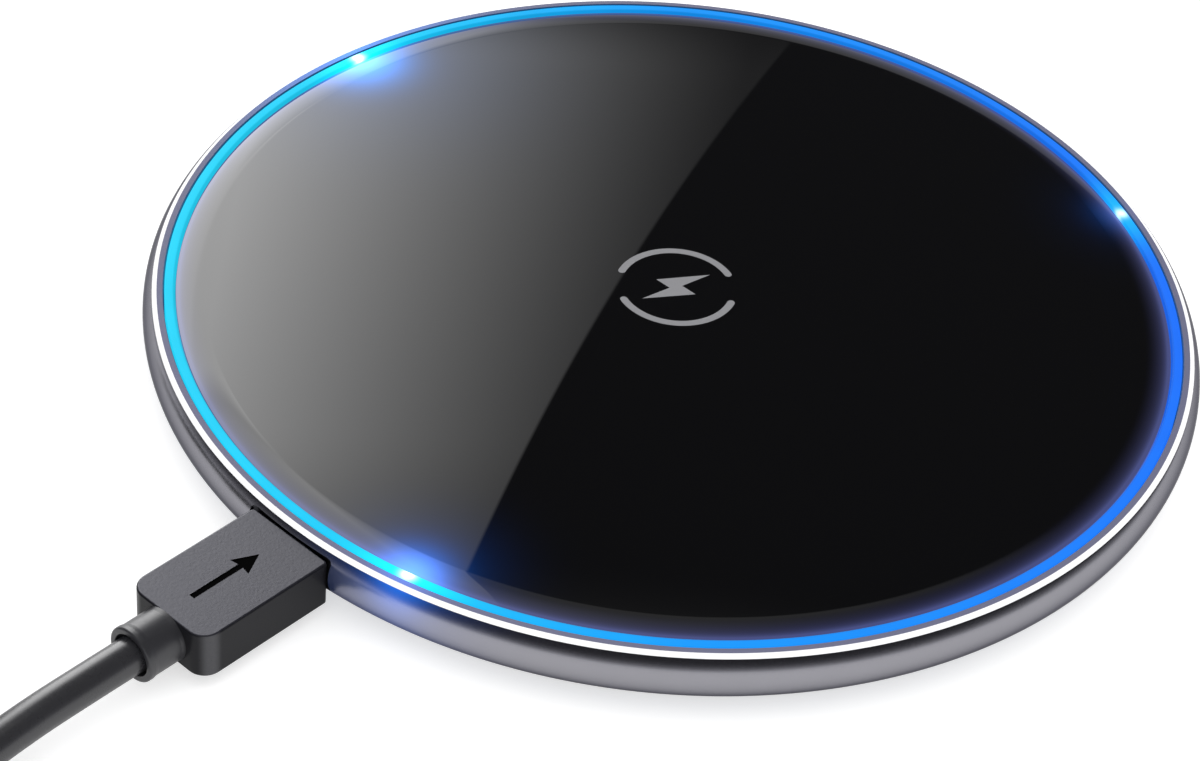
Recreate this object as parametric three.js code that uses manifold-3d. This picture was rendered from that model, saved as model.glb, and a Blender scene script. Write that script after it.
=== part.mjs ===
// A round wireless charging pad with its lead plugged in, in millimetres, +Z up.
// The origin is at the middle of the base, on the surface that the pad stands on, and the lead leaves along +Y.
import * as THREE from 'three';
import { mergeVertices } from 'three/addons/utils/BufferGeometryUtils.js';
import Module from 'manifold-3d';

const wasm = await Module();
wasm.setup();

// ---- Driving dimensions ----
const PAD = { height: 7, segments: 60 };

// The rim's side is half an ellipse, 50 mm from the axis at its widest.
const BULGE = { centreRadius: 47.69, centreHeight: 4.54, radial: 2.31, vertical: 2.78 };
const BULGE_ARC = { lowest: -78, highest: 52, steps: 10 };
const RIM = { landInner: 48.07, landOuter: 48.67, ledge: 5.1, bore: 46.4 };

// The glass is flat in the middle and rounded over towards its edge.
const GLASS = { radius: 46.66, flatRadius: 44.4, bottom: 5.95, edgeTop: 6.55 };
const GLASS_EDGE = { shoulderDrop: 0.1, chamfer: 0.25 };
// How far joined shapes run into each other.
const OVERLAP = 0.2;

const ADHESIVE = { inner: 38, outer: 46.3, bottom: 5.75, top: 5.9 };
const LIGHT_RING = { inner: 46.86, outer: 47.97, top: 6.95 };
const LIGHT_SKIRT = { inner: 43.2, top: 5.7, bottom: 5.2 };
const LIGHT_PIPE = { radius: 44.3, width: 3, depth: 1.4, bottom: 3.4 };
const LED = { angles: [-4.4, 103.3, 242.6], size: [1.4, 3, 0.7] };

const CARRIER = { radius: 42.9, bottom: 5.1, top: 5.7 };
const CARRIER_BOSS = { radius: 3, bottom: 2.7, pilotRadius: 0.9, pilotTop: 4.9 };
const SCREW_CIRCLE = { count: 4, firstAngle: 45, radius: 38 };
const SCREW = { headRadius: 1.8, shaftRadius: 0.78, headBottom: 1.25, headTop: 1.8, point: 4.2, tip: 4.6 };

const BOARD = { inner: 28, outer: 45.2, bottom: 1.7, top: 2.5, bossHole: 3.6, solder: 0.1 };
const COVER = { flange: 47.4, flangeTop: 1.75, bevel: [0.8, 0.4], underside: 0.7, floor: 1.6 };
const COVER_RECESS = { inner: 32.8, outer: 43.2, top: 1.05 };
const COVER_RIM = { inner: 45.4, outer: 46.25, top: 2.3 };
const COVER_BOSS = { radius: 3.2, top: 2.6, counterbore: 2.1, counterboreTop: 1.9, hole: 1.1 };
const ANTI_SLIP = { inner: 33, outer: 43, top: 1 };

const COIL = { turns: 9, inner: 10.8, pitch: 1.25, height: 4.5, wire: 1, stepsPerTurn: 16, endAngle: 150 };
const FERRITE = { radius: 24.5, bottom: 2.85, top: 3.9 };
// The slot in the ferrite that the inner lead and the thermistor's lead run along.
const SLOT = { from: -1.7, to: 26, low: -3.3, high: 3.2 };
const THERMISTOR = { radius: 1.3, bottom: 3.65, top: 4.9, y: 1.5, flexWidth: 1.2 };
const FOAM = { radius: 22, bottom: 1.65, top: 2.8 };

// The port's axis is level with the middle of the plug's moulding.
const PORT = { height: 3.8, back: 42.3, mouth: 47.6, width: 7.5, tall: 2.45, wall: 0.22, cut: 1 };
const WINDOW = { width: 8.4, bottom: 2.3, top: 5.3 };
const POCKET = { width: 10, face: 49.25, bottom: 1, top: 6.35 };

const PAD_PLUG = { front: 49.4, back: 63.53, width: 9.41, tall: 4.7, corners: [0.4, 1.75], edge: 0.25 };
const PAD_SHELL = { tip: 43.2, root: 52.2, width: 6.85, tall: 1.8, wall: 0.25, cut: 1 };
const PAD_BOOT = { waist: 2.42, lip: 2.6, end: 67.3, lipLength: 0.9 };
const SOCKET_CLEARANCE = 0.15;

const CABLE = { radius: 1.7, sides: 8 };
// The unseen cable is wound in two layers of a flat round coil that lies on its tie.
const WINDING = { x: 25.9, y: 98, inner: 12.4, outer: 27.6, bottom: 0.5, top: 7.35, segments: 40 };
const LEAD_ROUTE = [[0, 67.6, 3.8], [0, 72, 3.8], [0, 76.5, 3.75], [0, 80.3, 3.5], [0, 83.7, 3.1]];
const TAIL_ROUTE = [
  [46.4, 119.3, 5], [51, 117.6, 4.3], [56.4, 113, 3.7],
  [60.4, 106, 3.5], [61.7, 99, 3.6], [61.7, 95.3, 3.8],
];
const TIE = { angle: -75, inner: 11.7, outer: 27.95, width: 6, wall: 0.5, sole: 0.35, top: 7.65 };

const HOST_PLUG = { length: 21, width: 15.4, tall: 7.6, corners: [0.6, 2], edge: 0.5 };
const HOST_PLACE = [61.7, 95, 3.8];
const HOST_BOOT = { length: 8, thin: 2.3, thick: 2.9 };
const HOST_SHELL = { width: 12, tall: 4.5, length: 12.2, root: 3, wall: 0.3 };

// ---- Materials ----
const finish = (color, roughness, metalness) => new THREE.MeshStandardMaterial({ color, roughness, metalness });
const FINISH = {
  blackGlass: finish(0x0c0c0e, 0.06, 0),
  adhesive: finish(0xd8d6ce, 0.7, 0),
  lightGuide: finish(0x2aa6ff, 0.3, 0),
  aluminium: finish(0x6f6e76, 0.35, 0.9),
  darkPlastic: finish(0x26262a, 0.6, 0),
  palePlastic: finish(0xc9c8c2, 0.6, 0),
  copper: finish(0xb8713a, 0.35, 0.9),
  ferrite: finish(0x3b3a3c, 0.8, 0),
  foam: finish(0x4a4a4c, 0.95, 0),
  tape: finish(0xb07a26, 0.5, 0),
  board: finish(0x12482a, 0.45, 0),
  chip: finish(0x161618, 0.5, 0),
  ceramic: finish(0xa58360, 0.5, 0),
  ledPackage: finish(0xf1efe2, 0.4, 0),
  steel: finish(0xb9bcc0, 0.3, 1),
  rubber: finish(0x1c1c1e, 0.9, 0),
  plugBody: finish(0x3a3a3f, 0.5, 0),
  cable: finish(0x2b2b2f, 0.55, 0),
};

// ---- Shapes ----
const degrees = THREE.MathUtils.degToRad;

// A body of revolution about Z from [radius, z] pairs, which run upwards on its outside.
function turned(profile, segments = PAD.segments) {
  const points = profile.map(([radius, z]) => new THREE.Vector2(radius, z));
  return new THREE.LatheGeometry(points, segments).rotateX(Math.PI / 2);
}

// A ring of rectangular section, closed on itself.
function ring(inner, outer, bottom, top, segments) {
  return turned([[inner, bottom], [outer, bottom], [outer, top], [inner, top], [inner, bottom]], segments);
}

function disc(radius, bottom, top, segments) {
  return turned([[0, bottom], [radius, bottom], [radius, top], [0, top]], segments);
}

// A box from its lowest to its highest corner.
function block([x0, y0, z0], [x1, y1, z1]) {
  const box = new THREE.BoxGeometry(x1 - x0, y1 - y0, z1 - z0);
  return box.translate((x0 + x1) / 2, (y0 + y1) / 2, (z0 + z1) / 2);
}

function circlePoints(radius, segments, x = 0, y = 0) {
  return Array.from({ length: segments }, (_, i) => {
    const angle = (i / segments) * 2 * Math.PI;
    return new THREE.Vector2(x + radius * Math.cos(angle), y + radius * Math.sin(angle));
  });
}

// An outline in X and Y, with holes, between two heights.
function slab(outline, holes, bottom, top) {
  const shape = new THREE.Shape(outline);
  shape.holes = holes.map((points) => new THREE.Path(points));
  return new THREE.ExtrudeGeometry(shape, { depth: top - bottom, bevelEnabled: false }).translate(0, 0, bottom);
}

// An outline in X and Z, with holes, from y = from to y = to. Its z counts from the height given.
function bar(outline, holes, from, to, height) {
  const shape = new THREE.Shape(outline);
  shape.holes = holes.map((points) => new THREE.Path(points));
  const made = new THREE.ExtrudeGeometry(shape, { depth: to - from, bevelEnabled: false });
  return made.rotateX(Math.PI / 2).translate(0, to, height);
}

// A connector's outline: a rectangle whose two lower corners are cut off.
function keyedOutline(width, tall, cut) {
  const [w, h] = [width / 2, tall / 2];
  const corners = [[-w + cut, -h], [w - cut, -h], [w, -h + cut], [w, h], [-w, h], [-w, -h + cut]];
  return corners.map((corner) => new THREE.Vector2(...corner));
}

// An outline in X and Y whose corners have one radius at the front (low Y) and one at the back.
function mouldingOutline(width, front, back, [a, b]) {
  const w = width / 2;
  const shape = new THREE.Shape();
  shape.moveTo(-w + a, front).lineTo(w - a, front).absarc(w - a, front + a, a, -Math.PI / 2, 0, false);
  shape.lineTo(w, back - b).absarc(w - b, back - b, b, 0, Math.PI / 2, false);
  shape.lineTo(-w + b, back).absarc(-w + b, back - b, b, Math.PI / 2, Math.PI, false);
  shape.lineTo(-w, front + a).absarc(-w + a, front + a, a, Math.PI, 1.5 * Math.PI, false);
  return shape;
}

// A moulding of that outline, tall, with a chamfer along its upper and lower edges.
function moulding(outline, tall, edge, middle) {
  const depth = tall - 2 * edge;
  const bevel = { bevelThickness: edge, bevelSize: edge, bevelOffset: -edge, bevelSegments: 1 };
  const made = new THREE.ExtrudeGeometry(outline, { depth, curveSegments: 4, ...bevel });
  return made.translate(0, 0, middle - depth / 2);
}

// A round rod along a curve.
function rod(curve, radius, sides, steps) {
  const section = new THREE.Shape(circlePoints(radius, sides));
  return new THREE.ExtrudeGeometry(section, { steps, extrudePath: curve, bevelEnabled: false });
}

function smooth(points) {
  return new THREE.CatmullRomCurve3(points.map((p) => new THREE.Vector3(...p)));
}

// A flat spiral that steps in equal angles, so that the facets of neighbouring turns stay in line.
class Spiral extends THREE.Curve {
  getPoint(t) {
    const angle = t * COIL.turns * 2 * Math.PI;
    const radius = COIL.inner + COIL.pitch * COIL.turns * t;
    return new THREE.Vector3(radius * Math.cos(angle), radius * Math.sin(angle), 0);
  }

  getUtoTmapping(u) {
    return u;
  }
}

// ---- Joining and cutting ----
function solid(geometry) {
  const bare = geometry.clone();
  bare.deleteAttribute('normal');
  bare.deleteAttribute('uv');
  const merged = mergeVertices(bare);
  const vertProperties = merged.attributes.position.array;
  const triVerts = Uint32Array.from(merged.index.array);
  return new wasm.Manifold(new wasm.Mesh({ numProp: 3, vertProperties, triVerts }));
}

function geometryOf(made) {
  const { vertProperties, triVerts } = made.getMesh();
  const geometry = new THREE.BufferGeometry();
  geometry.setAttribute('position', new THREE.BufferAttribute(vertProperties, 3));
  geometry.setIndex(new THREE.BufferAttribute(triVerts, 1));
  geometry.computeVertexNormals();
  return geometry;
}

function joined(first, ...others) {
  return geometryOf(others.reduce((made, other) => made.add(solid(other)), solid(first)));
}

function cut(first, ...others) {
  return geometryOf(others.reduce((made, other) => made.subtract(solid(other)), solid(first)));
}

// ---- Placing ----
function piece(name, geometry, material) {
  const mesh = new THREE.Mesh(geometry, material);
  mesh.name = name;
  return mesh;
}

function group(...children) {
  return new THREE.Group().add(...children);
}

// Children turned about Z by an angle in degrees, so that their +X points outwards there.
function facing(angle, ...children) {
  const made = group(...children);
  made.rotation.z = degrees(angle);
  return made;
}

// What make(x, y, index) returns for each cover screw.
function atEachScrew(make) {
  const { count, firstAngle, radius } = SCREW_CIRCLE;
  return Array.from({ length: count }, (_, i) => {
    const angle = degrees(firstAngle + (i * 360) / count);
    return make(radius * Math.cos(angle), radius * Math.sin(angle), i);
  });
}

// A disc at each cover screw.
function screwDiscs(radius, bottom, top, segments) {
  return atEachScrew((x, y) => disc(radius, bottom, top, segments).translate(x, y, 0));
}

// ---- The pad's shell ----
function bulgePoint(angle) {
  const radius = BULGE.centreRadius + BULGE.radial * Math.cos(degrees(angle));
  return [radius, BULGE.centreHeight + BULGE.vertical * Math.sin(degrees(angle))];
}

function housingFrame() {
  const { lowest, highest, steps } = BULGE_ARC;
  const stride = (highest - lowest) / steps;
  const side = Array.from({ length: steps + 1 }, (_, i) => bulgePoint(lowest + i * stride));
  const foot = [RIM.bore, side[0][1]];
  const land = [[RIM.landOuter, PAD.height], [RIM.landInner, PAD.height]];
  const ledge = [[RIM.landInner, RIM.ledge], [RIM.bore, RIM.ledge]];
  const [inside, outside] = [RIM.bore - 2, PAD_PLUG.back];
  return cut(
    turned([foot, ...side, ...land, ...ledge, foot]),
    block([-WINDOW.width / 2, inside, WINDOW.bottom], [WINDOW.width / 2, outside, WINDOW.top]),
    block([-POCKET.width / 2, POCKET.face, POCKET.bottom], [POCKET.width / 2, outside, POCKET.top]),
  );
}

function glassTop() {
  const { radius, flatRadius, bottom, edgeTop } = GLASS;
  const { shoulderDrop, chamfer } = GLASS_EDGE;
  const edge = [[radius - chamfer, bottom], [radius, bottom + chamfer], [radius, edgeTop]];
  const shoulder = [(flatRadius + radius) / 2, PAD.height - shoulderDrop];
  return turned([[0, bottom], ...edge, shoulder, [flatRadius, PAD.height], [0, PAD.height]]);
}

function lightGuideRing() {
  const { inner, outer, top } = LIGHT_RING;
  const skirt = LIGHT_SKIRT;
  const foot = [skirt.inner, skirt.bottom];
  const outside = [[outer, skirt.bottom], [outer, top]];
  const section = [foot, ...outside, [inner, top], [inner, skirt.top], [skirt.inner, skirt.top], foot];
  const { radius, width, depth, bottom } = LIGHT_PIPE;
  const low = [radius - depth / 2, -width / 2, bottom];
  const high = [radius + depth / 2, width / 2, skirt.bottom + OVERLAP];
  const pipes = LED.angles.map((angle) => block(low, high).rotateZ(degrees(angle)));
  return joined(turned(section), ...pipes);
}

function bottomCover() {
  const { flange, flangeTop, bevel, underside, floor } = COVER;
  const [recess, rim] = [COVER_RECESS, COVER_RIM];
  const plate = turned([
    [0, underside], [recess.inner, underside], [recess.inner, recess.top], [recess.outer, recess.top],
    [recess.outer, underside], [flange - bevel[0], underside], [flange, underside + bevel[1]],
    [flange, flangeTop], [rim.outer, flangeTop], [rim.outer, rim.top], [rim.inner, rim.top],
    [rim.inner, floor], [0, floor],
  ]);
  const { radius, top, counterbore, counterboreTop, hole } = COVER_BOSS;
  const solidCover = joined(plate, ...screwDiscs(radius, floor - OVERLAP, top, 20));
  const counterbores = screwDiscs(counterbore, 0, counterboreTop, 16);
  return cut(solidCover, ...counterbores, ...screwDiscs(hole, 0, top + 1, 12));
}

function coilCarrier() {
  const plate = disc(CARRIER.radius, CARRIER.bottom, CARRIER.top);
  const { radius, bottom, pilotRadius, pilotTop } = CARRIER_BOSS;
  const solidCarrier = joined(plate, ...screwDiscs(radius, bottom, CARRIER.bottom + OVERLAP, 20));
  return cut(solidCarrier, ...screwDiscs(pilotRadius, bottom - 1, pilotTop, 12));
}

function coverScrew() {
  const { headRadius, shaftRadius, headBottom, headTop, point, tip } = SCREW;
  const head = [[0, headBottom], [headRadius, headBottom], [headRadius, headTop]];
  return turned([...head, [shaftRadius, headTop], [shaftRadius, point], [0, tip]], 16);
}

function shellAssembly() {
  const screws = atEachScrew((x, y, i) => {
    const screw = piece(`cover_screw_${i + 1}`, coverScrew(), FINISH.steel);
    screw.position.set(x, y, 0);
    return screw;
  });
  const adhesive = ring(ADHESIVE.inner, ADHESIVE.outer, ADHESIVE.bottom, ADHESIVE.top);
  return group(
    piece('glass_top', glassTop(), FINISH.blackGlass),
    piece('glass_adhesive', adhesive, FINISH.adhesive),
    piece('light_guide_ring', lightGuideRing(), FINISH.lightGuide),
    piece('housing_frame', housingFrame(), FINISH.aluminium),
    piece('coil_carrier', coilCarrier(), FINISH.palePlastic),
    piece('bottom_cover', bottomCover(), FINISH.darkPlastic),
    piece('anti_slip_ring', ring(ANTI_SLIP.inner, ANTI_SLIP.outer, 0, ANTI_SLIP.top), FINISH.rubber),
    ...screws,
  );
}

// ---- The coil and its magnetics, where +X runs out along the leads ----
const COIL_OUTER = COIL.inner + COIL.pitch * COIL.turns;
const INNER_LEAD_ROUTE = [
  [10.75, -0.4, 4.45], [10.4, -1.4, 4.15], [10.5, -2.2, 3.6], [11.8, -2.5, 3.42],
  [18, -2.5, 3.4], [26.5, -2.5, 3.4], [30.5, -2.5, 3.1],
];
const OUTER_LEAD_ROUTE = [
  [COIL_OUTER, 0.4, 4.5], [COIL_OUTER + 0.6, 2.6, 4.5], [25.6, 5, 4.4], [28.3, 6.4, 3.5], [30.8, 6.8, 3.1],
];
const LEAD_RADIUS = 0.45;

// The thermistor's flat lead, side on: along the slot, then down onto the board.
const FLEX_OUTLINE = [
  [-0.9, 3.35], [27, 3.35], [29, 2.6], [30.6, 2.6], [30.6, 2.8], [29.1, 2.8], [27.1, 3.6], [-0.9, 3.6],
];

function ferriteSheet() {
  const sheet = disc(FERRITE.radius, FERRITE.bottom, FERRITE.top, 48);
  return cut(sheet, block([SLOT.from, SLOT.low, 0], [SLOT.to, SLOT.high, PAD.height]));
}

function thermistorLead() {
  const shape = new THREE.Shape(FLEX_OUTLINE.map((point) => new THREE.Vector2(...point)));
  const flex = new THREE.ExtrudeGeometry(shape, { depth: THERMISTOR.flexWidth, bevelEnabled: false });
  return flex.rotateX(Math.PI / 2).translate(0, THERMISTOR.y + THERMISTOR.flexWidth / 2, 0);
}

function coilAssembly() {
  const spiral = rod(new Spiral(), COIL.wire / 2, 6, COIL.turns * COIL.stepsPerTurn);
  const coil = piece('charging_coil', spiral, FINISH.copper);
  coil.position.z = COIL.height;
  const lead = (route) => rod(smooth(route), LEAD_RADIUS, 6, 10);
  const bead = disc(THERMISTOR.radius, THERMISTOR.bottom, THERMISTOR.top, 12).translate(0, THERMISTOR.y, 0);
  return facing(
    COIL.endAngle,
    coil,
    piece('coil_lead_inner', lead(INNER_LEAD_ROUTE), FINISH.copper),
    piece('coil_lead_outer', lead(OUTER_LEAD_ROUTE), FINISH.copper),
    piece('ferrite_sheet', ferriteSheet(), FINISH.ferrite),
    piece('coil_foam_pad', disc(FOAM.radius, FOAM.bottom, FOAM.top, 36), FINISH.foam),
    piece('thermistor', bead, FINISH.tape),
    piece('thermistor_lead', thermistorLead(), FINISH.tape),
  );
}

// ---- The circuit board and what is on it ----
// Each component: name, angle, radius, size outwards, size across, height, finish.
const COMPONENTS = [
  ['controller_ic', 65, 36, 5, 5, 0.9, FINISH.chip],
  ['bridge_mosfet_1', 160, 36, 3.3, 3.3, 0.8, FINISH.chip],
  ['bridge_mosfet_2', 170, 36, 3.3, 3.3, 0.8, FINISH.chip],
  ['resonant_capacitor_1', 184, 36, 3.2, 1.6, 1.6, FINISH.ceramic],
  ['resonant_capacitor_2', 190, 36, 3.2, 1.6, 1.6, FINISH.ceramic],
  ['resonant_capacitor_3', 196, 36, 3.2, 1.6, 1.6, FINISH.ceramic],
  ['resonant_capacitor_4', 202, 36, 3.2, 1.6, 1.6, FINISH.ceramic],
  ['input_inductor', 112, 36, 4, 4, 1.8, FINISH.ferrite],
  ['input_capacitor', 78, 37.5, 3.2, 2.5, 1.8, FINISH.ceramic],
  ['sense_resistor', 118, 41, 1.6, 3.2, 0.6, FINISH.chip],
];

function circuitBoard() {
  const bossHoles = atEachScrew((x, y) => circlePoints(BOARD.bossHole, 16, x, y));
  const holes = [circlePoints(BOARD.inner, 48), ...bossHoles];
  return slab(circlePoints(BOARD.outer, PAD.segments), holes, BOARD.bottom, BOARD.top);
}

// A component on the board: its angle and radius, its size outwards and across, and its height.
function mounted(name, angle, radius, deep, wide, high, material) {
  const foot = BOARD.top + BOARD.solder;
  const body = block([radius - deep / 2, -wide / 2, foot], [radius + deep / 2, wide / 2, foot + high]);
  return facing(angle, piece(name, body, material));
}

function portTongue() {
  const { back, mouth, height } = PORT;
  const base = block([-3.3, back + 0.1, height - 0.4], [3.3, back + 0.7, height + 0.9]);
  const tongue = block([-1.9, back + 0.5, height + 0.05], [1.9, mouth - 0.8, height + 0.5]);
  return joined(base, tongue);
}

function boardAssembly() {
  const { back, mouth, height, width, tall, wall, cut: corner } = PORT;
  const outside = keyedOutline(width, tall, corner);
  const inside = keyedOutline(width - 2 * wall, tall - 2 * wall, corner - wall / 2);
  const lamp = [LIGHT_PIPE.radius, ...LED.size, FINISH.ledPackage];
  return group(
    piece('circuit_board', circuitBoard(), FINISH.board),
    ...COMPONENTS.map((component) => mounted(...component)),
    ...LED.angles.map((angle, i) => mounted(`ring_led_${i + 1}`, angle, ...lamp)),
    piece('port_shell', bar(outside, [inside], back, mouth, height), FINISH.steel),
    piece('port_tongue', portTongue(), FINISH.darkPlastic),
  );
}

// ---- The cable, with the plug that goes into the pad ----
function padPlugOvermould() {
  const { front, back, width, tall, corners, edge } = PAD_PLUG;
  const body = moulding(mouldingOutline(width, front, back, corners), tall, edge, PORT.height);
  const { root, width: shellWidth, tall: shellTall, cut: corner } = PAD_SHELL;
  const socket = keyedOutline(shellWidth + 2 * SOCKET_CLEARANCE, shellTall + 2 * SOCKET_CLEARANCE, corner);
  return cut(body, bar(socket, [], front - 1, root + SOCKET_CLEARANCE, PORT.height));
}

function padPlugShell() {
  const { tip, root, width, tall, wall, cut: corner } = PAD_SHELL;
  const inside = keyedOutline(width - 2 * wall, tall - 2 * wall, corner - wall / 2);
  return bar(keyedOutline(width, tall, corner), [inside], tip, root, PORT.height);
}

function padPlugBoot() {
  const { waist, lip, end, lipLength } = PAD_BOOT;
  const start = PAD_PLUG.back + 0.05;
  const lipStart = end - lipLength;
  const profile = [[0, start], [waist, start], [waist, lipStart], [lip, lipStart + 0.2], [lip, end], [0, end]];
  return turned(profile, 20).rotateX(-Math.PI / 2).translate(0, 0, PORT.height);
}

function padPlug() {
  const { tip, root } = PAD_SHELL;
  const insert = block([-2.2, tip + 0.3, PORT.height - 0.6], [2.2, root - 0.1, PORT.height - 0.05]);
  return group(
    piece('pad_plug_overmould', padPlugOvermould(), FINISH.plugBody),
    piece('pad_plug_shell', padPlugShell(), FINISH.steel),
    piece('pad_plug_insert', insert, FINISH.darkPlastic),
    piece('pad_plug_boot', padPlugBoot(), FINISH.plugBody),
  );
}

// A strap round the coil, which passes under it.
function cableTie() {
  const { inner, outer, width, wall, sole, top } = TIE;
  const band = block([inner - wall, -width / 2, 0], [outer + wall, width / 2, top + wall]);
  const tie = piece('cable_tie', cut(band, block([inner, -width, sole], [outer, width, top])), FINISH.rubber);
  const made = facing(TIE.angle, tie);
  made.position.set(WINDING.x, WINDING.y, 0);
  return made;
}

// The plug at the cable's far end, which lies flat with its nose towards -Y.
function hostPlug() {
  const { length, width, tall, corners, edge } = HOST_PLUG;
  const back = -HOST_BOOT.length;
  const front = back - length;
  const tip = front - HOST_SHELL.length;
  const root = front + HOST_SHELL.root;
  const [w, h, t] = [HOST_SHELL.width / 2, HOST_SHELL.tall / 2, HOST_SHELL.wall];
  const c = SOCKET_CLEARANCE;
  const bootProfile = [[0, 0.1], [HOST_BOOT.thick, 0.1], [HOST_BOOT.thin, -back], [0, -back]];
  const boot = turned(bootProfile, 20).rotateX(-Math.PI / 2).translate(0, back, 0);
  const body = moulding(mouldingOutline(width, front, back, corners), tall, edge, 0);
  const socket = block([-w - c, front - 1, -h - c], [w + c, root + c, h + c]);
  const bore = block([-w + t, tip - 1, -h + t], [w - t, root + 1, h - t]);
  const insert = block([-w + t + c, tip + 0.4, -h + t + c], [w - t - c, root - 0.2, -0.1]);
  const made = group(
    piece('host_plug_boot', boot, FINISH.plugBody),
    piece('host_plug_overmould', cut(body, socket), FINISH.plugBody),
    piece('host_plug_shell', cut(block([-w, tip, -h], [w, root, h]), bore), FINISH.steel),
    piece('host_plug_insert', insert, FINISH.palePlastic),
  );
  made.position.set(...HOST_PLACE);
  return made;
}

function cableAssembly() {
  const winding = ring(WINDING.inner, WINDING.outer, WINDING.bottom, WINDING.top, WINDING.segments);
  const coiled = piece('cable_coil', winding, FINISH.cable);
  coiled.position.set(WINDING.x, WINDING.y, 0);
  return group(
    padPlug(),
    piece('cable_lead', rod(smooth(LEAD_ROUTE), CABLE.radius, CABLE.sides, 5), FINISH.cable),
    coiled,
    cableTie(),
    piece('cable_tail', rod(smooth(TAIL_ROUTE), CABLE.radius, CABLE.sides, 8), FINISH.cable),
    hostPlug(),
  );
}

const part = group(shellAssembly(), coilAssembly(), boardAssembly(), cableAssembly());

export default part;
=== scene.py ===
import math

import bmesh
import bpy
from mathutils import Matrix, Vector


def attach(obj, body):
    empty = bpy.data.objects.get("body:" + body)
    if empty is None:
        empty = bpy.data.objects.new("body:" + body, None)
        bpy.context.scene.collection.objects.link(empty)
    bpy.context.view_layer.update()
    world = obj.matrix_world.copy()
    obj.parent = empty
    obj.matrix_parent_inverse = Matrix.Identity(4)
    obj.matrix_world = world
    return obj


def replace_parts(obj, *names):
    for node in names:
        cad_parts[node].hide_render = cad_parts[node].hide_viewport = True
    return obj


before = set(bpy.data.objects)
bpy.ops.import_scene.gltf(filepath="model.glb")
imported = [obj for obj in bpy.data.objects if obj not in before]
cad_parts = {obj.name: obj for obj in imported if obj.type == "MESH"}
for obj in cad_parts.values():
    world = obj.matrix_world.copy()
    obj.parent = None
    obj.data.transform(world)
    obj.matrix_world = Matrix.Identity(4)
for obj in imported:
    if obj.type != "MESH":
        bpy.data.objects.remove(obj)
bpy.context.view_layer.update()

# A round wireless charging pad with its lead plugged in. Lengths are in millimetres unless a name or comment
# says metres, and angles in degrees. The frame is the CAD model's: +Z up, the port and the lead towards +Y.
MM = 0.001


VIEW = {"azimuth": 219.335, "elevation": 39.95, "roll": 5.57, "lens": 94.18, "sensor": 36.0}
CAMERA_PLACE = (-143.219, 184.722, 190.275)
CAMERA_CLIP = (0.01, 20)  # metres


def view_axes():
    """The camera's right, up and forward directions."""
    azimuth, elevation, roll = (math.radians(VIEW[k]) for k in ("azimuth", "elevation", "roll"))
    level = Vector((math.cos(azimuth), math.sin(azimuth), 0))
    back = Vector((math.sin(azimuth) * math.cos(elevation),
                   -math.cos(azimuth) * math.cos(elevation),
                   math.sin(elevation)))
    upright = back.cross(level)
    right = level * math.cos(roll) + upright * math.sin(roll)
    up = upright * math.cos(roll) - level * math.sin(roll)
    return right, up, -back


RIGHT, UP, FORWARD = view_axes()


def make_camera():
    data = bpy.data.cameras.new("camera")
    data.lens, data.sensor_width, data.sensor_fit = VIEW["lens"], VIEW["sensor"], "HORIZONTAL"
    data.clip_start, data.clip_end = CAMERA_CLIP
    data.dof.use_dof = False
    camera = bpy.data.objects.new("camera", data)
    bpy.context.scene.collection.objects.link(camera)
    turn = Matrix((RIGHT, UP, -FORWARD)).transposed().to_4x4()
    camera.matrix_world = Matrix.Translation(Vector(CAMERA_PLACE) * MM) @ turn
    bpy.context.scene.camera = camera


make_camera()


# ---- Materials ----
def srgb(red, green, blue):
    """A screen colour from 0 to 255 as linear light."""
    def channel(value):
        value /= 255
        return value / 12.92 if value <= 0.04045 else ((value + 0.055) / 1.055) ** 2.4
    return (channel(red), channel(green), channel(blue), 1.0)


def shade(colour, factor):
    """A colour made darker or lighter by that factor."""
    return tuple(min(1, c * factor) for c in colour[:3]) + (1,)


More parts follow.
